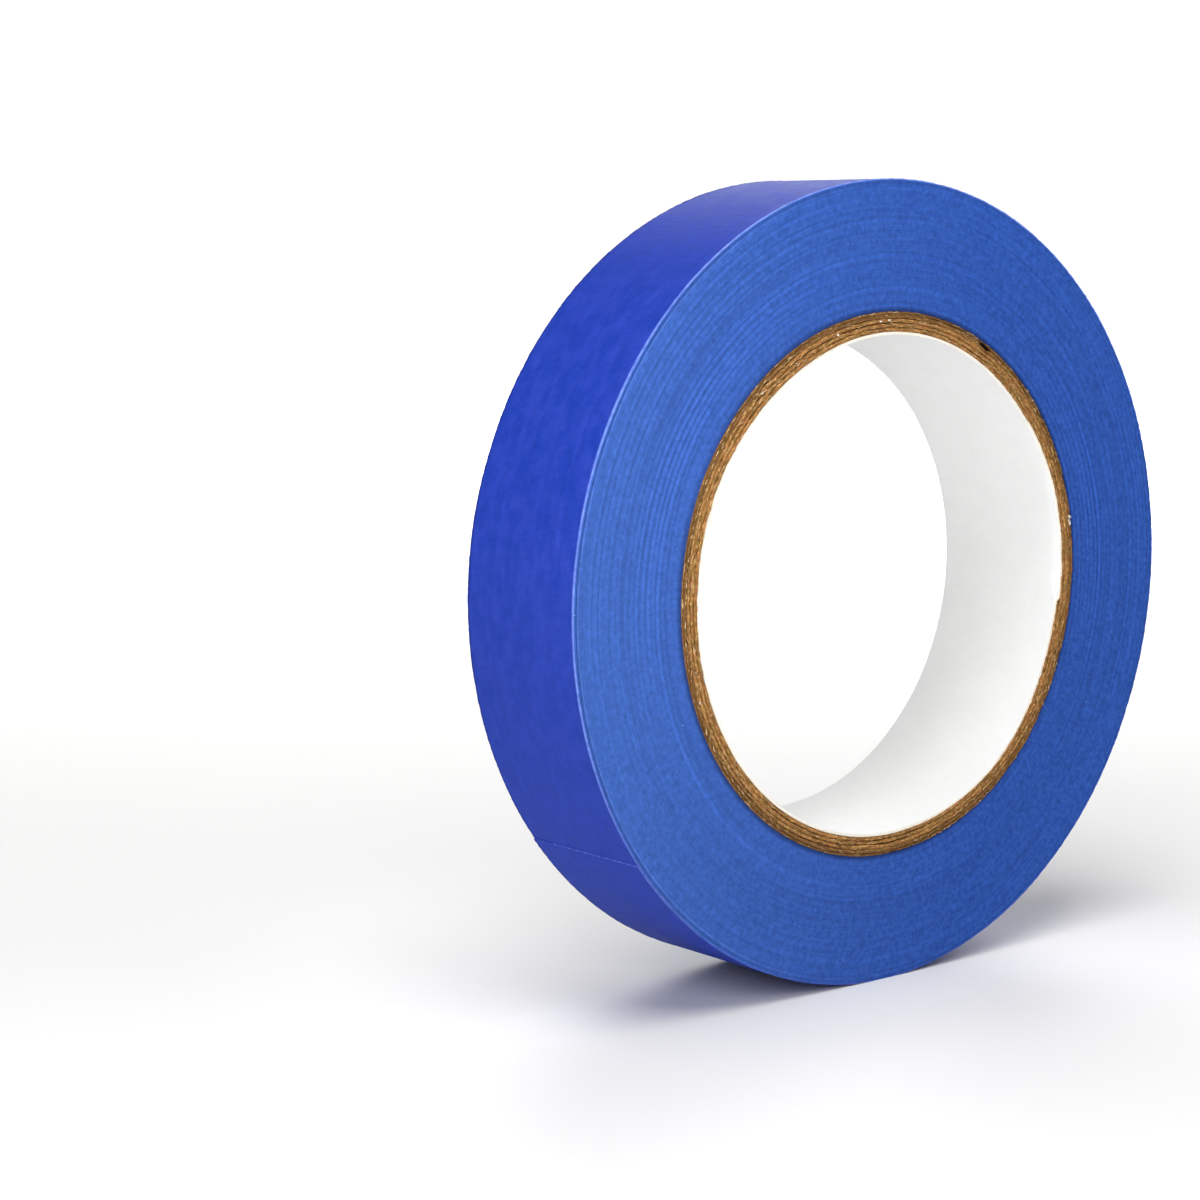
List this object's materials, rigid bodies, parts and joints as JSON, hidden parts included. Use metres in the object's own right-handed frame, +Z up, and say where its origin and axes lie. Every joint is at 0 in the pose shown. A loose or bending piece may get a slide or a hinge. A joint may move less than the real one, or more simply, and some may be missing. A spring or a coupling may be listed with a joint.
{
  "type": "masking tape roll",
  "caption": "Roll of blue creped-paper painter's masking tape on a spiral-wound paperboard core with a white liner; the free end peels off the rim.",
  "frame": {"origin": "centre of the roll, on the bore's axis and midway between the side faces", "axes": "+Y along the bore's axis, from the front side face to the back one; +Z up as the roll stands on its rim; +X to the right seen from the front"},
  "size_m": [0.1224, 0.0244, 0.1225],
  "materials": {
    "liner_paper": "white uncoated liner paper",
    "core_board": "brown kraft paperboard, cut edge",
    "crepe_tape": "matte blue creped paper"
  },
  "bodies": {
    "roll": {"core_liner": "liner_paper", "core_ply_1": "core_board", "core_ply_2": "core_board", "core_ply_3": "core_board", "core_ply_4": "core_board", "core_ply_5": "core_board", "tape_winding": "crepe_tape"},
    "tail": {"tape_tail": "crepe_tape"}
  },
  "joints": [
    {"name": "tail_peel", "type": "hinge", "parent": "roll", "child": "tail", "pos_m": [-0.03899, 0, -0.0473], "axis": [0, -1, 0], "range_deg": [0, 90]}
  ]
}
